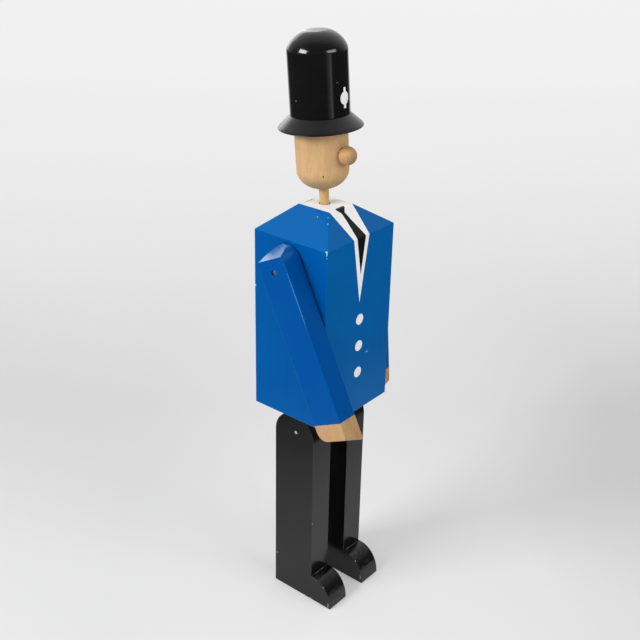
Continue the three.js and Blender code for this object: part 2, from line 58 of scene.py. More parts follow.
ARRIS = 0.9 * MM
SWING_DEG = {RIGHT: 26.4, LEFT: 4.9}
BOARD = 15 * MM
CUFF_BELOW_PIVOT = 243 * MM
BUTTON_RADIUS = 9 * MM
FILM_LIFT = 0.16 * MM
FILM_ROOT = 0.1 * MM
ARM_SCREW_RADIUS = 2.5 * MM
HIP_PIN_RADIUS = 2.5 * MM
RUNNING_GAP = 0.3 * MM
PEG_GAP = 0.3 * MM
BORE_GAP = 0.1 * MM

# ---------------- reading the frame


def extent(node, placement=None):
    """Lowest and highest corner of a CAD node, in the local frame of a placement."""
    inverse = (placement or Matrix.Identity(4)).inverted()
    points = [inverse @ vertex.co for vertex in frame["nodes"][node].data.vertices]
    low = Vector([min(p[i] for p in points) for i in range(3)])
    high = Vector([max(p[i] for p in points) for i in range(3)])
    return low, high


def of_joint(name, key="pos_m"):
    """The point that a joint turns about or, with the key "axis", the line's direction."""
    return Vector(next(joint for joint in frame["joints"] if joint["name"] == name)[key])


def neck_placement():
    """A frame with its origin where the neck leaves the collar and its Z along the neck."""
    up = of_joint("neck_turn", "axis").normalized()
    back = up.cross(Vector((1, 0, 0))).normalized()
    turn = Matrix((back.cross(up), back, up)).transposed().to_4x4()
    return Matrix.Translation(of_joint("neck_turn")) @ turn


def arm_placement(side):
    """A frame with its origin on the shoulder pivot line and its -Z along the arm."""
    pivot = of_joint(SIDE_NAMES[side] + "_shoulder")
    swing = Matrix.Rotation(-math.radians(SWING_DEG[side]), 4, "X")
    return Matrix.Translation((0, pivot.y, pivot.z)) @ swing


def linked(name, data):
    """A new object in the scene, showing the given mesh, light or camera."""
    made = bpy.data.objects.new(name, data)
    bpy.context.scene.collection.objects.link(made)
    return made


# ---------------- shapes

# Which of a piece's looks a face takes: the open faces, arrises, which are lighter for wear and
# as a painted highlight, the inside of bores and sawn end grain.
OPEN, RUB_AND_HIGHLIGHT, BORE, END_GRAIN = range(4)

# How near two points have to be for a cut through them to count as one.
CUT_TOLERANCE = 1e-7


def loft(rings):
    """A closed solid through rings of the same number of points, listed counter-clockwise as
    seen from the last ring."""
    shape = bmesh.new()
    rows = [[shape.verts.new(point) for point in ring] for ring in rings]
    count = len(rings[0])
    for low, high in zip(rows, rows[1:]):
        for i in range(count):
            j = (i + 1) % count
            shape.faces.new((low[i], low[j], high[j], high[i]))
    shape.faces.new(list(reversed(rows[0])))
    shape.faces.new(rows[-1])
    bmesh.ops.recalc_face_normals(shape, faces=shape.faces)
    return shape


def turned(profile, segments=96):
    """A turned solid about Z from (radius, height) points that start and end on the axis."""
    shape = bmesh.new()
    rows = []
    for radius, height in profile:
        if radius < CUT_TOLERANCE:
            rows.append([shape.verts.new((0, 0, height))])
            continue
        row = []
        for i in range(segments):
            angle = 2 * math.pi * i / segments
            row.append(shape.verts.new((radius * math.cos(angle), radius * math.sin(angle), height)))
        rows.append(row)
    for low, high in zip(rows, rows[1:]):
        for i in range(segments):
            j = (i + 1) % segments
            corners = [low[i % len(low)], low[j % len(low)], high[j % len(high)], high[i % len(high)]]
            shape.faces.new(list(dict.fromkeys(corners)))
    bmesh.ops.recalc_face_normals(shape, faces=shape.faces)
    return shape


def arc(centre, radius, start_deg, end_deg, steps):
    """Points on a circle or, with a pair of radii, on an ellipse."""
    across, along = radius if isinstance(radius, tuple) else (radius, radius)
    points = []
    for i in range(steps + 1):
        angle = math.radians(start_deg + (end_deg - start_deg) * i / steps)
        points.append((centre[0] + across * math.cos(angle), centre[1] + along * math.sin(angle)))
    return points


def bezier(p0, p1, p2, p3, steps):
    points = []
    for i in range(steps + 1):
        t = i / steps
        weights = ((1 - t) ** 3, 3 * t * (1 - t) ** 2, 3 * t * t * (1 - t), t**3)
        points.append(tuple(sum(w * p[k] for w, p in zip(weights, (p0, p1, p2, p3))) for k in (0, 1)))
    return points


def bisect(shape, point, normal, clear_outer=False):
    bmesh.ops.bisect_plane(
        shape,
        geom=shape.verts[:] + shape.edges[:] + shape.faces[:],
        plane_co=point,
        plane_no=normal,
        clear_outer=clear_outer,
        dist=CUT_TOLERANCE,
    )


def slice_off(shape, point, normal, cap_look=OPEN):
    """Takes off what lies beyond a plane, on the side that its normal points to, and caps it."""
    bisect(shape, point, normal, clear_outer=True)
    rim = [edge for edge in shape.edges if edge.is_boundary]
    for face in bmesh.ops.holes_fill(shape, edges=rim, sides=0)["faces"]:
        face.material_index = cap_look
    bmesh.ops.recalc_face_normals(shape, faces=shape.faces)
    return shape


def soften(shape, radius=ARRIS, least_deg=22, segments=3):
    """Rounds every outer edge that turns by more than the least angle. The rounded faces take the
    look for arrises, lighter for wear and as a painted highlight."""
    bmesh.ops.remove_doubles(shape, verts=shape.verts, dist=radius / 4)
    limit = math.radians(least_deg)
    edges = [edge for edge in shape.edges if edge.calc_face_angle_signed(0) > limit]
    bmesh.ops.bevel(
        shape,
        geom=edges,
        offset=radius,
        offset_type="OFFSET",
        segments=segments,
        profile=0.5,
        affect="EDGES",
        clamp_overlap=False,
        material=RUB_AND_HIGHLIGHT,
    )
    return shape


def mirrored(shape):
    bmesh.ops.scale(shape, vec=(-1, 1, 1), verts=shape.verts)
    bmesh.ops.reverse_faces(shape, faces=shape.faces)
    return shape


def for_side(shape, side):
    return mirrored(shape) if side == RIGHT else shape


def placed(shape, placement):
    shape.transform(placement)
    return shape


def along_x(shape, y, z):
    """Lays a solid that was turned about Z along X, its heights becoming distances along +X."""
    return placed(shape, Matrix.Translation((0, y, z)) @ Matrix.Rotation(math.radians(90), 4, "Y"))


def bored(shape, tools, inside_look=None):
    """The shape less its tools. With an inside_look, the new inner faces take the bore's look."""
    mesh = bpy.data.meshes.new("blank")
    shape.to_mesh(mesh)
    for _ in (OPEN, RUB_AND_HIGHLIGHT, BORE, END_GRAIN):
        mesh.materials.append(None)
    body = linked("blank", mesh)
    helpers = []
    for tool in tools:
        tool_mesh = bpy.data.meshes.new("tool")
        tool.to_mesh(tool_mesh)
        tool_mesh.materials.append(inside_look)
        helpers.append(linked("tool", tool_mesh))
        cut = body.modifiers.new("cut", "BOOLEAN")
        cut.operation = "DIFFERENCE"
        cut.solver = "EXACT"
        cut.material_mode = "TRANSFER"
        cut.object = helpers[-1]
    result = body.evaluated_get(bpy.context.evaluated_depsgraph_get()).to_mesh()
    inner = [i for i, slot in enumerate(result.materials) if slot is not None and slot == inside_look]
    shape.clear()
    shape.from_mesh(result)
    for face in shape.faces:
        if face.material_index in inner:
            face.material_index = BORE
    for thing in [body, *helpers]:
        bpy.data.objects.remove(thing)
    return shape


# ---------------- pieces


def piece(name, shape, looks, body, replaced=(), smooth_deg=32):
    """Makes a shown piece from a shape: its looks, the body it rides on and what it stands for."""
    looks = looks if isinstance(looks, list) else [looks]
    mesh = bpy.data.meshes.new(name)
    shape.to_mesh(mesh)
    shape.free()
    for look in looks:
        mesh.materials.append(look)
    mesh.shade_smooth()
    mesh.set_sharp_from_angle(angle=math.radians(smooth_deg))
    made = linked(name, mesh)
    weigh = made.modifiers.new("weighted_normals", "WEIGHTED_NORMAL")
    weigh.keep_sharp = True
    weigh.weight = 80
    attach(made, body)
    if replaced:
        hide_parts(*replaced)
    return made


# ---------------- materials


def rgb(red, green, blue):
    return (red, green, blue, 1.0)


def grey(tone):
    return rgb(tone, tone, tone)


class Tree:
    """Short calls for building a node tree."""

    def __init__(self, tree):
        self.tree = tree

    def feed(self, socket, value):
        if isinstance(value, bpy.types.NodeSocket):
            self.tree.links.new(value, socket)
        else:
            socket.default_value = value

    def add(self, kind, inputs=None, **settings):
        node = self.tree.nodes.new(kind)
        for key, value in settings.items():
            setattr(node, key, value)
        for key, value in (inputs or {}).items():
            self.feed(node.inputs[key], value)
        return node

    def maths(self, operation, first, second=0.0):
        node = self.add("ShaderNodeMath", {0: first, 1: second}, operation=operation)
        return node.outputs[0]

    def vector(self, operation, first, second):
        return self.add("ShaderNodeVectorMath", {0: first, 1: second}, operation=operation)

    def noise(self, place, scale=1.0, detail=3.0, roughness=0.5, distortion=0.0):
        values = {"Vector": place, "Scale": scale, "Detail": detail, "Roughness": roughness}
        return self.add("ShaderNodeTexNoise", {**values, "Distortion": distortion}).outputs["Fac"]

    def remap(self, value, low, high, to_low=0.0, to_high=1.0, smooth=False):
        kind = "SMOOTHSTEP" if smooth else "LINEAR"
        values = {"Value": value, "From Min": low, "From Max": high, "To Min": to_low, "To Max": to_high}
        return self.add("ShaderNodeMapRange", values, interpolation_type=kind).outputs["Result"]

    def mix(self, factor, first, second):
        values = {"Factor": factor, 6: first, 7: second}
        return self.add("ShaderNodeMix", values, data_type="RGBA").outputs[2]

    def ramp(self, value, low, high, stops, blend="LINEAR"):
        """A grey that follows a value from low to high through (value, brightness) stops."""
        node = self.add("ShaderNodeValToRGB", {"Fac": self.remap(value, low, high)})
        node.color_ramp.interpolation = blend
        elements = node.color_ramp.elements
        for index, (at, tone) in enumerate(stops):
            position = (at - low) / (high - low)
            element = elements[index] if index < 2 else elements.new(position)
            element.position = position
            element.color = grey(tone)
        return node.outputs["Color"]


class Look(Tree):
    """A material in the figure's own coordinates."""

    def __init__(self, name):
        self.material = bpy.data.materials.new(name)
        self.material.use_nodes = True
        super().__init__(self.material.node_tree)
        self.shader = self.tree.nodes["Principled BSDF"]
        self.place = self.add("ShaderNodeTexCoord").outputs["Object"]

    def stretched(self, scale, tilt=0.0):
        """The figure's coordinates scaled along each axis, after a turn about X."""
        turned_place = self.add("ShaderNodeMapping", {"Vector": self.place, "Rotation": (tilt, 0, 0)})
        return self.vector("MULTIPLY", turned_place.outputs[0], scale).outputs[0]

    def spots(self, marks, ragged=0.5, grain=700.0, blur=0.15):
        """1 inside ragged marks and 0 outside. A mark is a centre and half sizes, in millimetres.
        blur is how softly it ends, as a share of its size."""
        fuzz = self.remap(self.noise(self.place, grain, 2), 0.3, 0.7, -ragged, ragged)
        total = 0.0
        for centre, half in marks:
            away = self.vector("SUBTRACT", self.place, Vector(centre) * MM).outputs[0]
            away = self.vector("DIVIDE", away, Vector(half) * MM).outputs[0]
            reach = self.add("ShaderNodeVectorMath", {0: away}, operation="LENGTH").outputs["Value"]
            inside = self.remap(self.maths("ADD", reach, fuzz), 1 + blur, 1 - blur)
            total = self.maths("MAXIMUM", total, inside)
        return total

    def bump(self, height, distance, strength=1.0):
        values = {"Height": height, "Distance": distance, "Strength": strength}
        return self.add("ShaderNodeBump", values).outputs["Normal"]

    def finish(self, **sockets):
        for key, value in sockets.items():
            self.feed(self.shader.inputs[key.replace("_", " ")], value)
        return self.material


WHITE = grey(1)
UPRIGHT_GRAIN, TURNING = (150, 150, 5), (12, 12, 620)
SCUFFED_BLACK = rgb(0.05, 0.05, 0.052)


def lacquer(
    name, deep, full, worn_and_highlight, marks, roughness, tint=WHITE, streaks=UPRIGHT_GRAIN, level=0.5, scuffs=()
):
    """Hand-sprayed gloss paint on wood, between a deep and a full colour: faint cloudiness, orange
    peel, the wood's grain or the turner's marks in relief, chips down to a second colour that some
    marks also use as a painted highlight, and dull scuffs. streaks scales the grain along each
    axis, and tint and level set the mirror shine."""
    look = Look(name)
    cloud = look.remap(look.noise(look.place, 9, 3), 0.35, 0.65)
    streak = look.noise(look.stretched(streaks), 1, 4, 0.6)
    tone = look.maths("ADD", look.maths("MULTIPLY", cloud, 0.5), look.maths("MULTIPLY", streak, 0.5))
    chips_and_highlights = look.spots(marks)
    colour = look.mix(tone, deep, full)
    smear = look.remap(streak, 0.35, 0.7, roughness, roughness + 0.08)
    if scuffs:
        scratch = look.remap(look.noise(look.stretched((90, 520, 160)), 1, 4, 0.7), 0.5, 0.68)
        scuffed = look.maths("MULTIPLY", scratch, look.spots(scuffs, 0.4, 90))
        colour = look.mix(look.maths("MULTIPLY", scuffed, 0.6), colour, SCUFFED_BLACK)
        smear = look.maths("ADD", smear, look.maths("MULTIPLY", scuffed, 0.3))
    # Chips, and the marks that are painted highlights, take the second colour.
    colour = look.mix(chips_and_highlights, colour, worn_and_highlight)
    peel = look.noise(look.place, 420, 1)
    relief = look.maths("ADD", look.maths("MULTIPLY", streak, 0.8), look.maths("MULTIPLY", peel, 0.2))
    relief = look.maths("SUBTRACT", relief, look.maths("MULTIPLY", chips_and_highlights, 4.0))
    return look.finish(
        Base_Color=colour,
        Roughness=look.maths("MAXIMUM", smear, look.maths("MULTIPLY", chips_and_highlights, 0.5)),
        Specular_Tint=tint,
        Specular_IOR_Level=level,
        Normal=look.bump(relief, 0.06 * MM),
    )


YELLOW_STREAK, PINK_BLUSH = rgb(0.57, 0.365, 0.14), rgb(0.56, 0.33, 0.175)
KNOT_BROWN, SOAKED_BROWN = rgb(0.09, 0.045, 0.02), rgb(0.2, 0.125, 0.075)


def wood(
    name, pale, mid, dark, tilt=0.0, knots=(), ends=(), roughness=0.42, figure=0.55, blush=0.0
):
    """Beech with the grain along Z, or along a line tilted from it about X: broad soft bands,
    yellower streaks, fine fibre and the short dark flecks that beech shows. figure is how strong
    the streaks are, blush is how much of it turns pink, and ends are the soft marks where cut
    ends have drunk more of the varnish and gone darker."""
    look = Look(name)
    band = look.noise(look.stretched((42, 42, 5), tilt), 1, 3, 0.5, 0.4)
    blotch = look.noise(look.place, 30, 3, 0.6)
    yellow = look.remap(look.noise(look.stretched((85, 85, 17), tilt), 1, 3, 0.55, 1.2), 0.5, 0.62)
    fibre = look.noise(look.stretched((420, 420, 30), tilt), 1, 3, 0.6)
    fleck = look.remap(look.noise(look.stretched((1100, 1100, 330), tilt), 1, 1), 0.63, 0.73)
    tone = look.maths("ADD", look.maths("MULTIPLY", band, 0.6), look.maths("MULTIPLY", blotch, 0.4))
    colour = look.mix(look.remap(tone, 0.36, 0.64), pale, mid)
    pink = look.remap(look.noise(look.stretched((22, 22, 7), tilt), 1, 2), 0.42, 0.6)
    colour = look.mix(look.maths("MULTIPLY", pink, blush), colour, PINK_BLUSH)
    colour = look.mix(look.maths("MULTIPLY", yellow, figure), colour, YELLOW_STREAK)
    colour = look.mix(look.maths("MULTIPLY", look.remap(fibre, 0.5, 0.75), 0.2), colour, dark)
    colour = look.mix(look.maths("MULTIPLY", fleck, 0.4), colour, dark)
    if ends:
        soaked = look.maths("MULTIPLY", look.spots(ends, 0.25, 60, 0.5), 0.5)
        colour = look.mix(soaked, colour, SOAKED_BROWN)
    if knots:
        colour = look.mix(look.maths("MULTIPLY", look.spots(knots), 0.85), colour, KNOT_BROWN)
    relief = look.maths("SUBTRACT", look.maths("MULTIPLY", fibre, 0.5), fleck)
    return look.finish(
        Base_Color=colour,
        Roughness=look.remap(fibre, 0.3, 0.7, roughness, roughness + 0.12),
        Normal=look.bump(relief, 0.05 * MM),
    )


def metal(name, bright, dull, roughness, metallic=0.95):
    """Old bare metal: cloudy tarnish and fine turning marks."""
    look = Look(name)
    tarnish = look.remap(look.noise(look.place, 260, 4, 0.6), 0.35, 0.7)
    marks = look.noise(look.place, 1500, 2)
    return look.finish(
        Base_Color=look.mix(tarnish, bright, dull),
        Metallic=metallic,
        Roughness=look.remap(tarnish, 0, 1, roughness, roughness + 0.25),
        Normal=look.bump(marks, 0.03 * MM),
    )


COLLAR_LINE_GREY = rgb(0.2, 0.2, 0.19)


def paint(name, colour, shade, roughness, level, marks=()):
    """Brushed or printed paint: slightly uneven in tone and thickness, and a darker grey at the marks.
    """
    look = Look(name)
    patch = look.remap(look.noise(look.place, 55, 3), 0.3, 0.75)
    strokes = look.noise(look.stretched((500, 500, 60)), 1, 2)
    base = look.mix(patch, colour, shade)
    return look.finish(
        Base_Color=look.mix(look.spots(marks, 0.15), base, COLLAR_LINE_GREY) if marks else base,
        Roughness=look.remap(patch, 0, 1, roughness, roughness + 0.1),
        Specular_IOR_Level=level,
        Normal=look.bump(strokes, 0.03 * MM),
    )


# Where the paint is chipped, rubbed and scuffed, where it has darker lines, where it carries
# painted highlights, and where the wood is knotty or dark: a centre and half sizes, both in
# millimetres.
COAT_CHIPS = [
    ((-82.2, -31.6, 670.2), (1.6, 2.3, 1.5)),
    ((-82.3, -32.4, 666.6), (1.0, 0.9, 2.2)),
    ((-82.4, -32.9, 660.4), (0.6, 0.6, 1.6)),
    ((-35.5, 4.7, 701.0), (0.6, 0.6, 0.9)),
    ((-43.8, -1.8, 695.6), (0.7, 0.7, 1.3)),
    ((-38.4, 22.7, 699.1), (0.9, 0.9, 0.8)),
    ((-82.5, 108.8, 575.9), (1.2, 1.2, 1.4)),
    ((25.1, -32.8, 465.6), (3.0, 0.8, 0.6)),
]
LEG_CHIPS_AND_HIGHLIGHTS = [
    ((-67.7, 75.4, 62.1), (0.7, 0.9, 1.2)),
    ((-66.8, -2.4, 161.2), (0.8, 0.8, 1.4)),
    ((-67.0, -29.6, 38.8), (0.7, 1.2, 1.6)),
    ((-67.7, -41.5, 5.9), (0.6, 0.9, 5.0)),
    ((-67.7, 11.4, 1.2), (0.7, 2.4, 0.6)),
    ((-67.7, -2.8, 2.2), (0.7, 2.6, 0.7)),
    ((24.2, -28.6, 40.2), (0.9, 2.6, 1.3)),
    ((23.1, -42.3, 12.5), (0.6, 0.8, 7.0)),
    # Painted highlights: a thin pale line along each shoe's crease, where the shoe meets the leg.
    ((45.2, -3.2, 49.5), (21.0, 0.4, 0.4)),
    ((-45.2, -3.2, 49.5), (21.0, 0.4, 0.4)),
]
SHOE_SCUFFS = [
    ((45.2, -22.0, 47.0), (26.0, 17.0, 8.0)),
    ((45.2, -44.0, 24.0), (26.0, 7.0, 14.0)),
    ((-45.2, -44.0, 20.0), (26.0, 6.0, 16.0)),
    ((-60.0, -14.0, 48.0), (12.0, 9.0, 5.0)),
]
HAT_CHIPS = [
    ((-46.9, 59.6, 869.2), (1.1, 1.1, 1.2)),
    ((-13.9, 11.0, 898.1), (3.4, 1.4, 0.5)),
]
HEAD_KNOTS = [
    ((-31.7, 19.1, 761.3), (1.6, 1.3, 1.0)),
    ((-31.0, 18.4, 759.4), (0.8, 0.9, 1.6)),
]
HEAD_ENDS = [((4.0, 40.0, 737.0), (38.0, 34.0, 17.0))]
NOSE_ENDS = [((0.0, -15.0, 783.0), (14.0, 11.0, 13.0))]
# A paler blue along part of the right sleeve's outer arris: rubbed paint and a painted highlight.
SLEEVE_RUB_AND_HIGHLIGHT = [((-121.5, -8.4, 601.0), (4.0, 26.0, 46.0))]
# Two short darker grey lines across the collar's top, near its back edge.
COLLAR_DARK_LINES = [
    ((-12.0, 64.8, 706.2), (7.5, 0.9, 1.6)),
    ((-1.5, 64.8, 706.2), (6.0, 0.9, 1.6)),
]

# The pale undercoat at chips, and the paler blue of the sleeve arris's rub and painted highlight.
PALE_UNDERCOAT, SLEEVE_RUB_AND_HIGHLIGHT_BLUE = rgb(0.34, 0.55, 0.72), rgb(0.03, 0.16, 0.46)
BLACK = (rgb(0.003, 0.003, 0.0033), rgb(0.006, 0.006, 0.0065))
# The arris black is lighter, partly for wear and partly as a painted highlight.
RUB_AND_HIGHLIGHT_BLACK = (rgb(0.010, 0.010, 0.010), rgb(0.018, 0.018, 0.018))
# The grey that chips lay bare, also used for the painted highlights on the shoe creases.
BARE_LEG_AND_HIGHLIGHT_GREY, BARED_HAT = rgb(0.3, 0.29, 0.28), rgb(0.11, 0.11, 0.11)
CYAN, SOFT_CYAN = rgb(0.08, 1, 1), rgb(0.2, 1, 1)


GLOSSY, RUBBED_GLOSS = 0.09, 0.18


def blue(
    name, green, strong, roughness=GLOSSY, worn_and_highlight=PALE_UNDERCOAT, marks=COAT_CHIPS, tint=CYAN, level=0.32
):
    """The coat's blue at given green and blue strengths; each face gets its own, as painted light and
    shade.
    """
    deep, full = rgb(0, green * 0.92, strong * 0.95), rgb(0, green * 1.08, strong * 1.05)
    return lacquer(name, deep, full, worn_and_highlight, marks, roughness, tint=tint, level=level)


def black(name, roughness, level, worn_and_highlight=BARE_LEG_AND_HIGHLIGHT_GREY, marks=LEG_CHIPS_AND_HIGHLIGHTS, colours=BLACK, **settings):
    return lacquer(name, *colours, worn_and_highlight, marks, roughness, level=level, **settings)


BORE_WOOD = (rgb(0.30, 0.17, 0.08), rgb(0.22, 0.12, 0.06), rgb(0.1, 0.05, 0.02))
bore_wood = wood("bore_wood", *BORE_WOOD, roughness=0.75)
# Painted light and shade: each face has its own copy of the blue, lighter and greener on the front and
# top than on the sides, darker on the sleeves and lighter on the arm's sloped top. Every arris copy is
# lighter, partly for wear and partly as a painted highlight.
coat_side_looks = [
    blue("coat_side_blue", 0.076, 0.295, tint=SOFT_CYAN),
    blue("coat_side_arris", 0.090, 0.335, RUBBED_GLOSS),
    bore_wood,
]
coat_front_looks = [
    blue("coat_front_blue", 0.098, 0.33),
    blue("coat_front_arris", 0.106, 0.35, RUBBED_GLOSS),
]
coat_top_looks = [
    blue("coat_top_blue", 0.082, 0.315),
    blue("coat_top_arris", 0.094, 0.345, RUBBED_GLOSS),
    bore_wood,
]
sleeve_looks = [
    blue("sleeve_blue", 0.064, 0.275, tint=SOFT_CYAN),
    blue("sleeve_arris", 0.072, 0.30, 0.2, SLEEVE_RUB_AND_HIGHLIGHT_BLUE, SLEEVE_RUB_AND_HIGHLIGHT),
    bore_wood,
    blue("sleeve_end_grain", 0.096, 0.31, 0.27, tint=WHITE, level=1.0),
]
black_looks = [
    black("black_lacquer", 0.12, 0.34, scuffs=SHOE_SCUFFS),
    black("black_arris", 0.25, 0.5, colours=RUB_AND_HIGHLIGHT_BLACK),
]
turned_black = black("turned_black_lacquer", 0.12, 0.45, BARED_HAT, HAT_CHIPS, streaks=TURNING)
brim_black = black("brim_black_lacquer", 0.18, 0.45, BARED_HAT, HAT_CHIPS, streaks=TURNING)
white_paint = paint("white_paint", grey(0.80), rgb(0.75, 0.75, 0.745), 0.55, 0.2, COLLAR_DARK_LINES)
tie_paint = paint("tie_paint", rgb(0.004, 0.004, 0.0045), grey(0.006), 0.35, 0.15)
BEECH = (rgb(0.56, 0.365, 0.155), rgb(0.43, 0.255, 0.1), rgb(0.22, 0.115, 0.045))
HAND_BEECH = (rgb(0.41, 0.24, 0.095), rgb(0.345, 0.195, 0.075), rgb(0.2, 0.105, 0.04))
# The hands' arris wood is paler, partly for wear and partly as a painted highlight.
HAND_ARRIS = (rgb(0.48, 0.31, 0.15), rgb(0.43, 0.265, 0.12), rgb(0.24, 0.14, 0.06))
NOSE_BEECH = (rgb(0.50, 0.285, 0.11), rgb(0.42, 0.225, 0.085), rgb(0.22, 0.1, 0.04))
DOWEL_BEECH = (rgb(0.55, 0.365, 0.155), rgb(0.48, 0.305, 0.115), rgb(0.28, 0.155, 0.06))
PINE = (rgb(0.60, 0.42, 0.22), rgb(0.50, 0.32, 0.15), rgb(0.30, 0.17, 0.07))
head_wood = wood("head_wood", *BEECH, knots=HEAD_KNOTS, figure=0.65, blush=0.7, ends=HEAD_ENDS)
nose_wood = wood("nose_wood", *NOSE_BEECH, roughness=0.5, ends=NOSE_ENDS)
dowel_wood = wood("dowel_wood", *DOWEL_BEECH)
hand_looks = {}
for side, name in SIDE_NAMES.items():
    tilt = math.radians(SWING_DEG[side])
    hand_looks[side] = [
        wood(f"{name}_hand_wood", *HAND_BEECH, tilt=tilt, figure=0.25, blush=0.5),
        wood(f"{name}_hand_arris", *HAND_ARRIS, tilt=tilt, figure=0.25),
    ]
raw_pine = wood("raw_pine", *PINE, roughness=0.7)
steel = metal("steel", rgb(0.62, 0.61, 0.60), rgb(0.30, 0.29, 0.28), 0.3)
brass = metal("brass", rgb(0.95, 0.84, 0.60), rgb(0.60, 0.48, 0.27), 0.3, metallic=0.55)

# ---------------- coat

coat_low = Vector((extent("coat_right_side")[0].x, extent("coat_front")[0].y, extent("coat_front")[0].z))
coat_high = Vector((extent("coat_left_side")[1].x, extent("coat_back")[1].y, extent("coat_front")[1].z))
coat_middle_y = (coat_low.y + coat_high.y) / 2
collar_z = extent("shoulder_block")[1].z
block_points = [vertex.co for vertex in frame["nodes"]["shoulder_block"].data.vertices]
collar_points = [point for point in block_points if point.z > collar_z - 0.01 * MM]
collar_half_x = max(p.x for p in collar_points)
collar_front_y = min(p.y for p in collar_points)
collar_back_y = max(p.y for p in collar_points)


def rectangle(half_x, front_y, back_y, z):
    return [(-half_x, front_y, z), (half_x, front_y, z), (half_x, back_y, z), (-half_x, back_y, z)]


def coat_blank():
    """The coat as one solid: upright walls and a hipped top, every arris soft."""
    rings = [
        rectangle(coat_high.x, coat_low.y, coat_high.y, coat_low.z),
        rectangle(coat_high.x, coat_low.y, coat_high.y, coat_high.z),
        rectangle(collar_half_x, collar_front_y, collar_back_y, collar_z),
    ]
    return soften(loft(rings))


def coat_board(turn_deg, half_face, face_distance):
    """One wall with both edges mitred, cut from the blank; turn_deg 0 is the front, 90 the left."""
    turn = Matrix.Rotation(math.radians(turn_deg), 3, "Z")
    middle = Vector((0, coat_middle_y, 0))
    shape = slice_off(coat_blank(), (0, 0, coat_high.z), (0, 0, 1))
    slice_off(shape, middle + turn @ Vector((0, BOARD - face_distance, 0)), turn @ Vector((0, 1, 0)))
    for hand in (LEFT, RIGHT):
        corner = middle + turn @ Vector((hand * half_face, -face_distance, 0))
        slice_off(shape, corner, turn @ Vector((hand, 1, 0)).normalized())
    return shape


coat_half_x = coat_high.x
coat_half_y = (coat_high.y - coat_low.y) / 2
shoulder = of_joint("left_shoulder")


def bore(radius, low, high, segments=48):
    """A plain round hole along Z, to cut out of a piece."""
    return turned([(0, low), (radius, low), (radius, high), (0, high)], segments)


def recessed_bore(radius, recess_radius, seat, low, high, softness):
    """A fastener's hole along X from low to high, with a recess from its seat outwards that has a
    softened mouth."""
    profile = [
        (0, low - 1 * MM),
        (radius + BORE_GAP, low - 1 * MM),
        (radius + BORE_GAP, seat),
        (recess_radius, seat),
        (recess_radius, high - softness),
        (recess_radius + softness, high + 0.05 * MM),
        (recess_radius + softness, high + 1 * MM),
        (0, high + 1 * MM),
    ]
    return turned(profile, 64)


for name, turn_deg in (("coat_front", 0), ("coat_back", 180)):
    panel = coat_board(turn_deg, coat_half_x, coat_half_y)
    piece(name + "_panel", panel, coat_front_looks, "coat", [name])
for side, name in SIDE_NAMES.items():
    node = f"coat_{name}_side"
    panel = coat_board(90 * side, coat_half_y, coat_half_x)
    ends = sorted((side * (coat_half_x - 2 * BOARD), side * (coat_half_x + BOARD)))
    hole = along_x(bore(ARM_SCREW_RADIUS + RUNNING_GAP, *ends), shoulder.y, shoulder.z)
    panel = bored(panel, [hole], bore_wood)
    piece(node + "_panel", panel, coat_side_looks, "coat", [node])

# The hipped top, with the neck hole bored through it and a little wear at the hole's mouth.
neck = neck_placement()
dowel_low, dowel_high = extent("neck_dowel", neck)
neck_radius = dowel_high.x
mouth_radius = neck_radius + 1.3 * MM
bore_radius = neck_radius + BORE_GAP
bore_floor = dowel_low.z - 2 * MM
mouth = [(bore_radius, -2.2 * MM), (mouth_radius, -0.4 * MM), (mouth_radius, 5 * MM), (0, 5 * MM)]
neck_bore = turned([(0, bore_floor), (bore_radius, bore_floor), *mouth])
top_block = slice_off(coat_blank(), (0, 0, coat_high.z), (0, 0, -1))
top_block = bored(top_block, [placed(neck_bore, neck)], bore_wood)
piece("shoulder_top", top_block, coat_top_looks, "coat", ["shoulder_block"])

# ---------------- paint on the coat

facet_rise = collar_z - coat_high.z
facet_run = collar_front_y - coat_low.y
facet_length = math.hypot(facet_rise, facet_run)
facet_up = Vector((facet_run, facet_rise)) / facet_length


def fold(at, before, after, steps=3):
    """The soft fold between two flat stretches of the coat's front, as (distance, y, z, normal)
    rows. at is its distance and corner point; before and after are the stretches' directions."""
    distance, corner = at
    rows = []
    for i in range(steps + 1):
        t = i / steps
        direction = (before * (1 - t) + after * t).normalized()
        point = corner - before * ARRIS * (1 - t) ** 2 + after * ARRIS * t**2
        rows.append((distance + ARRIS * (2 * t - 1), point, Vector((-direction.y, direction.x))))
    return rows


UPRIGHT, LEVEL = Vector((0, 1)), Vector((1, 0))
front_edge = Vector((coat_low.y, coat_high.z))
collar_edge = Vector((collar_front_y, collar_z))
front_rows = [
    (coat_low.z - coat_high.z, Vector((coat_low.y, coat_low.z)), Vector((-1, 0))),
    *fold((0.0, front_edge), UPRIGHT, facet_up),
    *fold((facet_length, collar_edge), facet_up, LEVEL),
    (facet_length + 2 * coat_half_y, collar_edge + LEVEL * 2 * coat_half_y, Vector((0, 1))),
]


def on_front(across, up, lift):
    """A point on the front of the coat: across it, and up it from the fold at the shoulders, over
    the sloping facet and back along the collar."""
    for (low, p, n), (high, q, m) in zip(front_rows, front_rows[1:]):
        if up <= high:
            break
    t = (up - low) / (high - low)
    point = p.lerp(q, t) + n.lerp(m, t).normalized() * lift
    return Vector((across, point.x, point.y))


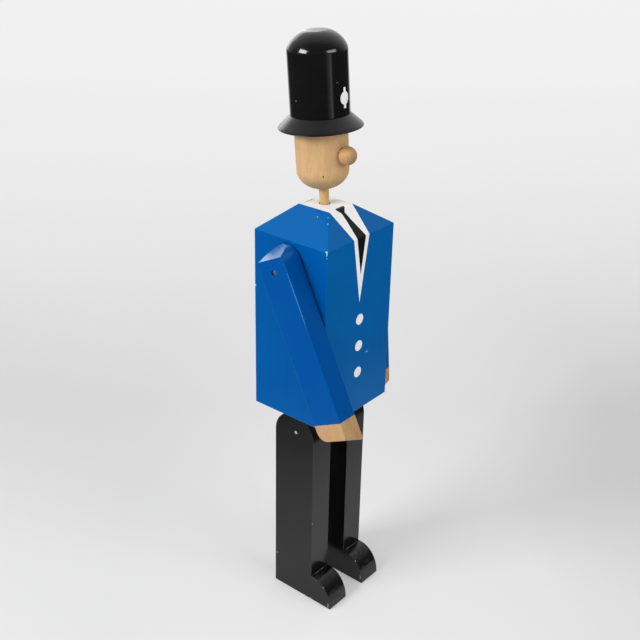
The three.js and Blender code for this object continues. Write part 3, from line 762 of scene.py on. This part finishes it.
def film(outline, place, lines, lift=FILM_LIFT):
    """A thin film of paint with the given outline on a bent surface. lines are (direction,
    distances) pairs: the straight lines that the film bends along."""
    sheet = bmesh.new()
    sheet.faces.new([sheet.verts.new((u, v, 0)) for u, v in outline])
    for direction, distances in lines:
        for distance in distances:
            bisect(sheet, Vector(direction) * distance, direction)
    raised = bmesh.ops.extrude_face_region(sheet, geom=sheet.faces[:])["geom"]
    top = {item for item in raised if isinstance(item, bmesh.types.BMVert)}
    for vertex in sheet.verts:
        vertex.co = place(vertex.co.x, vertex.co.y, lift if vertex in top else -FILM_ROOT)
    bmesh.ops.recalc_face_normals(sheet, faces=sheet.faces)
    return sheet


def facet_distance(z):
    return (z - coat_high.z) / facet_rise * facet_length


def coat_film(name, outline, look, lift=FILM_LIFT, tools=()):
    levels = [row[0] for row in front_rows[1:-1]]
    shape = film(outline, on_front, [((0, 1, 0), levels)], lift)
    if tools:
        bored(shape, tools)
    return piece(name, shape, look, "coat", smooth_deg=40)


# The shirt covers the collar and runs down to a point on the chest.
collar_inset = ARRIS
shirt_half_at_fold = 18.9 * MM
shirt_tip = (0.5 * MM, 562 * MM - coat_high.z)
collar_end = facet_length + (collar_back_y - collar_front_y) - collar_inset
collar_half = collar_half_x - collar_inset
shirt = [
    shirt_tip,
    (shirt_half_at_fold, 0),
    (collar_half, facet_length),
    (collar_half, collar_end),
    (-collar_half, collar_end),
    (-collar_half, facet_length),
    (-shirt_half_at_fold, 0),
]
neck_clearing = bore(mouth_radius, -9 * MM, 9 * MM, 96)
coat_film("shirt", shirt, white_paint, tools=[placed(neck_clearing, neck)])

# The tie: a knot that folds over onto the collar, and a blade that ends in a point.
tie_left = [(10.4, 670), (2.8, 692.6), (1.0, 700.7)]
tie_right = [(-6.4, 700.7), (-6.6, 692.6), (-10.6, 670)]
tie = [(0.8 * MM, 608.4 * MM - coat_high.z)]
tie += [(x * MM, facet_distance(z * MM)) for x, z in tie_left]
tie += [(8 * MM, facet_length), (9 * MM, facet_length + 4 * MM)]
tie += [(-9 * MM, facet_length + 4 * MM), (-12.5 * MM, facet_length)]
tie += [(x * MM, facet_distance(z * MM)) for x, z in tie_right]
coat_film("tie", tie, tie_paint, lift=FILM_LIFT + 0.1 * MM)

BUTTONS_X = 2.6 * MM
BUTTON_LIFT = 0.3 * MM
for number, z in enumerate((531.5, 485.0, 437.3), start=1):
    disc = arc((BUTTONS_X, z * MM - coat_high.z), BUTTON_RADIUS, 0, 352.5, 47)
    coat_film(f"button_{number}", disc, white_paint, lift=BUTTON_LIFT)

# ---------------- arms

ARM_HALF = 27.5 * MM
ARCH_RISE = 9 * MM
ARM_TOP_OUTER = 21 * MM
ARM_TOP_SLOPE = 0.42
ARM_LENGTH_OUTER = 270.5 * MM
ARM_END_SLOPE = 0.384
HAND_BACK_RADIUS = 16 * MM
HAND_FRONT_RADIUS = 5 * MM
ARM_ARRIS = 1.1 * MM
COUNTERBORE_RADIUS = 5 * MM
COUNTERBORE_DEPTH = 5.5 * MM
arm_low, arm_high = extent("left_arm", arm_placement(LEFT))


def arm_blank():
    """The left arm's board, hanging down from the pivot: round at the top, its top sloped off on
    the outer side, and its lower end sloping down towards the body with rounded corners."""
    front_at = (HAND_FRONT_RADIUS - ARM_HALF, HAND_FRONT_RADIUS - ARM_LENGTH_OUTER)
    back_at = (ARM_HALF - HAND_BACK_RADIUS, HAND_BACK_RADIUS - ARM_LENGTH_OUTER)
    end = arc(front_at, HAND_FRONT_RADIUS, 180, 270, 6) + arc(back_at, HAND_BACK_RADIUS, 270, 360, 10)
    top = arc((0, ARCH_RISE), ARM_HALF, 0, 180, 36)
    drop = ARM_END_SLOPE * (arm_high.x - arm_low.x)
    inner_ring = [(arm_low.x, y, z - drop) for y, z in end] + [(arm_low.x, y, z) for y, z in top]
    outer_ring = [(arm_high.x, y, z) for y, z in end + top]
    blank = loft([inner_ring, outer_ring])
    slope = Vector((ARM_TOP_SLOPE, 0, 1)).normalized()
    slice_off(blank, (arm_high.x, 0, ARM_TOP_OUTER), slope, END_GRAIN)
    return soften(blank, ARM_ARRIS, least_deg=20)


def counterbore():
    seat = arm_high.x - COUNTERBORE_DEPTH
    hole = recessed_bore(ARM_SCREW_RADIUS, COUNTERBORE_RADIUS, seat, arm_low.x, arm_high.x, 0.5 * MM)
    return along_x(hole, 0, 0)


for side, name in SIDE_NAMES.items():
    body = f"{name}_arm"
    placement = arm_placement(side)
    sleeve = slice_off(arm_blank(), (0, 0, -CUFF_BELOW_PIVOT), (0, 0, -1))
    sleeve = placed(for_side(bored(sleeve, [counterbore()], bore_wood), side), placement)
    hand = slice_off(arm_blank(), (0, 0, -CUFF_BELOW_PIVOT), (0, 0, 1))
    hand = placed(for_side(hand, side), placement)
    piece(f"{name}_sleeve", sleeve, sleeve_looks, body, [body])
    piece(f"{name}_hand", hand, hand_looks[side], body, [body])

# ---------------- legs

LEG_HALF = 41.1 * MM
CREASE_Z = 49.3 * MM
INSTEP_BEFORE_CENTRE = 51.7 * MM
INSTEP_Z = 48.6 * MM
INSTEP_PULL_BEFORE_CENTRE = 64.7 * MM
INSTEP_PULL_Z = 46.8 * MM
TOE_PULL_Z = 32 * MM
HIP_RECESS_RADIUS = 3.5 * MM
HIP_RECESS_DEPTH = 2.5 * MM
leg_low, leg_high = extent("left_leg")
leg_back_y = leg_high.y
leg_centre_y = leg_back_y - LEG_HALF
arch_z = leg_high.z - LEG_HALF
hip = of_joint("left_hip")


def leg_blank():
    """The left leg and its shoe, cut from one board."""
    instep = (leg_centre_y - INSTEP_BEFORE_CENTRE, INSTEP_Z)
    pull = (leg_centre_y - INSTEP_PULL_BEFORE_CENTRE, INSTEP_PULL_Z)
    upper = bezier(instep, pull, (leg_low.y, TOE_PULL_Z), (leg_low.y, 0), 24)
    arch = arc((leg_centre_y, arch_z), LEG_HALF, 0, 180, 48)
    outline = [(leg_back_y, 0), *arch, (leg_centre_y - LEG_HALF, CREASE_Z), *upper]
    blank = loft([[(x, y, z) for y, z in outline] for x in (leg_low.x, leg_high.x)])
    return soften(blank, least_deg=8.5)


def hip_bore():
    seat = leg_high.x - HIP_RECESS_DEPTH
    hole = recessed_bore(HIP_PIN_RADIUS, HIP_RECESS_RADIUS, seat, leg_low.x, leg_high.x, 0.3 * MM)
    return along_x(hole, hip.y, hip.z)


for side, name in SIDE_NAMES.items():
    leg = for_side(bored(leg_blank(), [hip_bore()]), side)
    piece(f"{name}_leg_and_shoe", leg, black_looks, f"{name}_leg", [f"{name}_leg"])

# ---------------- neck, head and hat

head_low, head_high = extent("head", neck)
nose_low, nose_high = extent("nose", neck)
brim_low, brim_high = extent("hat_brim", neck)
crown_low, crown_high = extent("hat_crown", neck)
peg_low, peg_high = extent("hat_peg", neck)
nose_peg_low, nose_peg_high = extent("nose_peg", neck)
nose_radius = (nose_high.z - nose_low.z) / 2
nose_centre = Vector((0, nose_low.y + nose_radius, (nose_low.z + nose_high.z) / 2))

JAW_RADIUS = 40 * MM
BOWL_HEIGHT = 30.5 * MM
HEAD_EDGE = 0.6 * MM
NOSE_GAP = 0.4 * MM
CROWN_DOME_HEIGHT = 28 * MM
CROWN_FLAT_RADIUS = 16 * MM
CROWN_CURVE = 1.6
BRIM_LIP = 1.6 * MM
BRIM_EDGE = 0.8 * MM


def ball(radius, centre, arc_steps, segments):
    outline = arc((0, 0), radius, -90, 90, arc_steps)
    sphere = turned([(0, outline[0][1]), *outline[1:-1], (0, outline[-1][1])], segments)
    return placed(sphere, Matrix.Translation(centre))


def peg_bore(low, high):
    return bore(peg_high.x + PEG_GAP, low, high)


def head_shape():
    """A round-bottomed block turned from one piece, hollowed where the nose, the neck and the
    hat's peg go in."""
    bowl = arc((0, head_low.z + BOWL_HEIGHT), (JAW_RADIUS, BOWL_HEIGHT), -90, 0, 28)
    top = arc((head_high.x - HEAD_EDGE, head_high.z - HEAD_EDGE), HEAD_EDGE, 0, 90, 4)
    blank = turned([(0, bowl[0][1]), *bowl[1:], *top, (0, head_high.z)], 128)
    peg_hole = bore(nose_peg_high.x + 0.2 * MM, nose_peg_low.y, nose_peg_high.y + PEG_GAP)
    to_back = Matrix.Translation((0, 0, nose_centre.z)) @ Matrix.Rotation(math.radians(-90), 4, "X")
    tools = [
        ball(nose_radius + NOSE_GAP, nose_centre, 32, 64),
        placed(peg_hole, to_back),
        bore(neck_radius + 0.15 * MM, head_low.z - 5 * MM, dowel_high.z + 0.5 * MM, 96),
        peg_bore(peg_low.z - PEG_GAP, head_high.z + 5 * MM),
    ]
    return bored(blank, tools)


def dowel_shape():
    edge = 0.5 * MM
    profile = [
        (0, dowel_low.z),
        (neck_radius, dowel_low.z),
        (neck_radius, dowel_high.z - edge),
        (neck_radius - edge, dowel_high.z),
        (0, dowel_high.z),
    ]
    return turned(profile, 96)


def brim_shape():
    """A straight flare from the crown out to a thin rounded rim."""
    rim = Vector((brim_high.x, brim_low.z + BRIM_LIP))
    foot = Vector((crown_high.x + 0.2 * MM, brim_high.z))
    flare = [tuple(rim.lerp(foot, i / 12)) for i in range(1, 12)]
    lip = arc((brim_high.x - BRIM_LIP / 2, brim_low.z + BRIM_LIP / 2), BRIM_LIP / 2, -90, 50, 8)
    shoulder_edge = arc((crown_high.x, brim_high.z - BRIM_EDGE), BRIM_EDGE, 20, 90, 5)
    profile = [(0, brim_low.z), *lip, *flare, *shoulder_edge, (0, brim_high.z)]
    return bored(turned(profile, 160), [peg_bore(brim_low.z - 1 * MM, brim_high.z + 1 * MM)])


def crown_dome(steps):
    """From the crown's side up to the rim of its small flat top, along a superellipse whose
    exponent is CROWN_CURVE: below 2, it is slacker in the middle than an ellipse."""
    points = []
    for across, up in arc((0, 0), 1, 0, 90, steps):
        out, rise = (max(part, 0) ** (2 / CROWN_CURVE) for part in (across, up))
        radius = CROWN_FLAT_RADIUS + (crown_high.x - CROWN_FLAT_RADIUS) * out
        points.append((radius, crown_high.z - CROWN_DOME_HEIGHT * (1 - rise)))
    return points


def crown_shape():
    edge = 0.7 * MM
    foot = arc((crown_high.x - edge, crown_low.z + edge), edge, -90, 0, 4)
    profile = [(0, crown_low.z), *foot, *crown_dome(64), (0, crown_high.z)]
    return bored(turned(profile, 160), [peg_bore(crown_low.z - 1 * MM, peg_high.z + PEG_GAP)])


piece("neck", placed(dowel_shape(), neck), dowel_wood, "head", ["neck_dowel"])
piece("head_block", placed(head_shape(), neck), head_wood, "head", ["head"])
nose_ball = placed(ball(nose_radius, nose_centre, 40, 80), neck)
piece("nose_ball", nose_ball, nose_wood, "head", ["nose"])
piece("brim", placed(brim_shape(), neck), brim_black, "head", ["hat_brim"])
piece("crown", placed(crown_shape(), neck), turned_black, "head", ["hat_crown"])

# The badge: a white disc with a short tab above and below it, on the front of the crown.
BADGE_RADIUS = 9.6 * MM
BADGE_Z = 165.3 * MM
BADGE_TURN = math.radians(4.1)
TAB_HALF = 2.5 * MM
TAB_TOP = 15.5 * MM
TAB_BOTTOM = -14.7 * MM


def on_crown(across, up, lift):
    angle = BADGE_TURN + across / crown_high.x
    radius = crown_high.x + lift
    return Vector((radius * math.sin(angle), -radius * math.cos(angle), BADGE_Z + up))


tab_turn = math.degrees(math.asin(TAB_HALF / BADGE_RADIUS))
badge = [
    *arc((0, 0), BADGE_RADIUS, tab_turn - 90, 90 - tab_turn, 22),
    (TAB_HALF, TAB_TOP),
    (-TAB_HALF, TAB_TOP),
    *arc((0, 0), BADGE_RADIUS, 90 + tab_turn, 270 - tab_turn, 22),
    (-TAB_HALF, TAB_BOTTOM),
    (TAB_HALF, TAB_BOTTOM),
]
badge_lines = [((1, 0, 0), [i * MM for i in range(-9, 10)])]
piece("badge", placed(film(badge, on_crown, badge_lines), neck), white_paint, "head")

# ---------------- hardware

SCREW_SLOT_WIDTH = 1.2 * MM
SCREW_SLOT_DEPTH = 1.3 * MM
SCREW_SLOT_TURN = math.radians(54)
PIN_RISE = 0.9 * MM


def arm_screw(side):
    """A slotted screw with a low domed head at the bottom of the arm's recess."""
    low, high = extent("left_arm_screw")
    head_radius = (high.z - low.z) / 2
    head_seat = arm_high.x - COUNTERBORE_DEPTH + 0.2 * MM
    shank = [(0, low.x), (ARM_SCREW_RADIUS, low.x + 2 * MM), (ARM_SCREW_RADIUS, head_seat)]
    crest = arc((0, high.x - 1 * MM), (head_radius, 1.2 * MM), 0, 90, 8)
    screw = turned([*shank, (head_radius, head_seat), *crest[:-1], (0, crest[-1][1])], 64)
    slot_ends = (high.x - SCREW_SLOT_DEPTH, high.x + 1 * MM)
    half_width = SCREW_SLOT_WIDTH / 2
    slot = loft([rectangle(2 * head_radius, -half_width, half_width, z) for z in slot_ends])
    placed(slot, Matrix.Rotation(SCREW_SLOT_TURN, 4, "Z"))
    return for_side(along_x(bored(screw, [slot]), shoulder.y, shoulder.z), side)


def ring_shape(node, hole_radius):
    """A flat washer between the same two planes as its CAD node."""
    low, high = extent(node)
    centre = (low + high) / 2
    outer = (high.z - low.z) / 2
    edge = (high.x - low.x) / 5
    lower = [(0, low.x), (outer - edge, low.x), (outer, low.x + edge)]
    upper = [(outer, high.x - edge), (outer - edge, high.x), (0, high.x)]
    blank = bored(turned(lower + upper, 64), [bore(hole_radius, low.x - 1 * MM, high.x + 1 * MM)])
    return along_x(blank, centre.y, centre.z)


for side, name in SIDE_NAMES.items():
    piece(f"{name}_shoulder_screw", arm_screw(side), steel, "coat", [f"{name}_arm_screw"])
    for joint, radius in (("arm", ARM_SCREW_RADIUS), ("hip", HIP_PIN_RADIUS)):
        node = f"{name}_{joint}_washer"
        ring = ring_shape(node, radius + RUNNING_GAP)
        piece(f"{name}_{joint}_ring", ring, steel, "coat", [node])

pin_low, pin_high = extent("hip_pin")
pin_head_radius = (pin_high.z - pin_low.z) / 2
pin_seat = leg_high.x - HIP_RECESS_DEPTH + 0.3 * MM
pin_crest = arc((0, pin_high.x - PIN_RISE), (pin_head_radius, PIN_RISE), 0, 90, 8)[:-1]
shank_end = [(pin_head_radius, pin_seat), (HIP_PIN_RADIUS, pin_seat)]
pin = [
    (0, pin_low.x),
    *[(radius, -x) for radius, x in reversed(pin_crest)],
    *[(radius, -x) for radius, x in shank_end],
    *reversed(shank_end),
    *pin_crest,
    (0, pin_high.x),
]
piece("hip_rivet", along_x(turned(pin, 64), hip.y, hip.z), brass, "coat", ["hip_pin"])

block_low, block_high = extent("hip_block")
block_ends = (block_low.z, block_high.z)
block = loft([rectangle(block_high.x, block_low.y, block_high.y, z) for z in block_ends])
pin_hole = along_x(bore(HIP_PIN_RADIUS + RUNNING_GAP, -BOARD * 3, BOARD * 3), hip.y, hip.z)
block = bored(soften(block), [pin_hole])
piece("hip_bearer", block, black_looks, "coat", ["hip_block"])

# What stays as the CAD has it, out of sight, gets a finish of its own.
for node, look in {
    "coat_base": raw_pine,
    "shoulder_rail": raw_pine,
    "hip_block_screw_front": steel,
    "hip_block_screw_back": steel,
    "nose_peg": head_wood,
    "hat_peg": raw_pine,
}.items():
    kept = frame["nodes"][node]
    kept.data.materials.clear()
    kept.data.materials.append(look)

# ---------------- camera

CAMERA_PLACE = Vector((-1.18382, -0.91358, 1.25901))
CAMERA_AZIMUTH_DEG = -51.016
CAMERA_HEIGHT_DEG = 26.322
CAMERA_ROLL_DEG = 1.235
CAMERA_LENS_MM = 59.241


def direction(azimuth_deg, height_deg):
    """The direction towards a place seen from the figure: azimuth 0 is in front, 90 to its left."""
    azimuth, height = math.radians(azimuth_deg), math.radians(height_deg)
    flat = math.cos(height)
    return Vector((math.sin(azimuth) * flat, -math.cos(azimuth) * flat, math.sin(height)))


def make_camera():
    data = bpy.data.cameras.new("camera")
    data.lens = CAMERA_LENS_MM
    data.sensor_width = 36
    data.clip_start = 0.05
    camera = linked("camera", data)
    back = direction(CAMERA_AZIMUTH_DEG, CAMERA_HEIGHT_DEG)
    right = (-back).cross(Vector((0, 0, 1))).normalized()
    level = Matrix((right, back.cross(right), back)).transposed()
    rolled = level @ Matrix.Rotation(math.radians(CAMERA_ROLL_DEG), 3, "Z")
    camera.matrix_world = Matrix.Translation(CAMERA_PLACE) @ rolled.to_4x4()
    bpy.context.scene.camera = camera


make_camera()

# ---------------- light, floor and surroundings

AIM = Vector((0, 0.05, 0.93))
PAPER_AZIMUTH_DEG = 129


def softbox(name, azimuth_deg, height_deg, distance, size, radiance, mirrored_only=False):
    """A rectangular light that faces the figure. radiance is how bright its face is."""
    data = bpy.data.lights.new(name, "AREA")
    data.shape = "RECTANGLE"
    data.size, data.size_y = size
    data.energy = radiance * math.pi * size[0] * size[1]
    lamp = linked(name, data)
    away = direction(azimuth_deg, height_deg)
    lamp.location = AIM + away * distance
    lamp.rotation_mode = "QUATERNION"
    lamp.rotation_quaternion = (-away).to_track_quat("-Z", "Y")
    lamp.visible_camera = False
    lamp.visible_diffuse = not mirrored_only


softbox("key_right", -109.7, 22.6, 2.4, (1.2, 0.7), 21)
softbox("fill_front", 5.0, 22.3, 2.4, (1.5, 0.72), 6.3)
softbox("stand_glint", -3.5, -11, 2.4, (0.34, 0.9), 1.15)
softbox("stand_shade", -13.0, -11, 2.4, (0.4, 0.9), 0.35)
softbox("backdrop_glow", 151, 14, 3.0, (2.1, 1.9), 1.4, mirrored_only=True)

FLOOR_RADIUS = 14.0
FLOOR_GAP = 0.3 * MM


def make_floor():
    """A pale sheet of studio paper that glows a little with distance. It runs away from the
    viewer's side, and past its edges the room is dark in reflections only."""
    shape = bmesh.new()
    bmesh.ops.create_circle(shape, cap_ends=True, segments=96, radius=FLOOR_RADIUS)
    mesh = bpy.data.meshes.new("floor")
    shape.to_mesh(mesh)
    shape.free()
    look = Look("floor_paper")
    away = direction(PAPER_AZIMUTH_DEG, 0)
    across = direction(PAPER_AZIMUTH_DEG - 90, 0)
    along = look.vector("DOT_PRODUCT", look.place, away).outputs["Value"]
    aside = look.vector("DOT_PRODUCT", look.place, across).outputs["Value"]
    distance = look.add("ShaderNodeVectorMath", {0: look.place}, operation="LENGTH").outputs["Value"]
    reach = look.maths("MAXIMUM", along, look.maths("SUBTRACT", distance, 0.8))
    # Painted light: the glow is raised near the feet and across the middle of the sweep, which lifts the
    # shadows that fall on the paper.
    near_stops = [(-1, 0.04), (0, 0.09), (0.6, 0.065), (1.4, 0.195)]
    glow = look.ramp(reach, -1, 6, [*near_stops, (1.9, 0.265), (2.5, 0.325), (3.9, 0.395), (6, 0.425)])
    side_stops = [(-1, 0.07), (-0.4, 0.1), (0, 0.18), (0.36, 0.14), (0.65, 0.065)]
    side_glow = look.ramp(aside, -1, 1, side_stops)
    side_glow = look.mix(look.remap(reach, 0.5, 1.6, smooth=True), side_glow, grey(0.125))
    bright = look.maths("ADD", glow, side_glow)
    glossy = look.add("ShaderNodeLightPath").outputs["Is Glossy Ray"]
    widening = look.maths("MULTIPLY", look.maths("MAXIMUM", along, 0.0), 0.45)
    beyond_edge = look.maths("SUBTRACT", look.maths("ABSOLUTE", aside), widening)
    off_paper = look.remap(beyond_edge, 0.15, 0.9, smooth=True)
    too_near = look.remap(along, -0.5, -1.3, smooth=True)
    dark = look.maths("MULTIPLY", glossy, look.maths("MAXIMUM", off_paper, too_near))
    grain = look.remap(look.noise(look.place, 900, 2), 0.3, 0.7, 0.985, 1.0)
    lit = look.maths("MULTIPLY", bright, look.maths("SUBTRACT", 1.0, dark))
    look.finish(
        Base_Color=look.mix(dark, grey(0.48), grey(0.06)),
        Roughness=0.9,
        Specular_IOR_Level=0.0,
        Emission_Color=WHITE,
        Emission_Strength=look.maths("MULTIPLY", lit, grain),
    )
    mesh.materials.append(look.material)
    floor = linked("floor", mesh)
    floor.location.z = -FLOOR_GAP


def make_world():
    """A studio with a pale ceiling. In reflections it is brightest behind the figure and dark on
    the viewer's side."""
    world = bpy.data.worlds.new("studio")
    world.use_nodes = True
    bpy.context.scene.world = world
    sky = Tree(world.node_tree)
    place = sky.add("ShaderNodeTexCoord").outputs["Generated"]
    ray = sky.add("ShaderNodeLightPath").outputs

    def toward(way, stops):
        """Brightness by how far a direction leans towards a way, as (lean, brightness) stops."""
        lean = sky.vector("DOT_PRODUCT", place, way).outputs["Value"]
        return sky.ramp(lean, 0, 1, stops, "EASE")

    ceiling = toward((0, 0, 1), [(0.0, 0.32), (0.5, 0.6), (1.0, 0.85)])
    lean_back = (direction(PAPER_AZIMUTH_DEG, 0) * 0.8 + Vector((0, 0, 0.6))).normalized()
    mirrored_stops = [(0.0, 0.06), (0.3, 0.15), (0.42, 0.4), (0.6, 0.62), (0.85, 1.0), (1.0, 1.3)]
    strength = sky.mix(ray["Is Glossy Ray"], ceiling, toward(lean_back, mirrored_stops))
    strength = sky.mix(ray["Is Camera Ray"], strength, grey(0.88))
    background = world.node_tree.nodes["Background"].inputs
    sky.feed(background["Color"], WHITE)
    sky.feed(background["Strength"], strength)


make_floor()
make_world()
bpy.context.scene.view_settings.view_transform = "Standard"
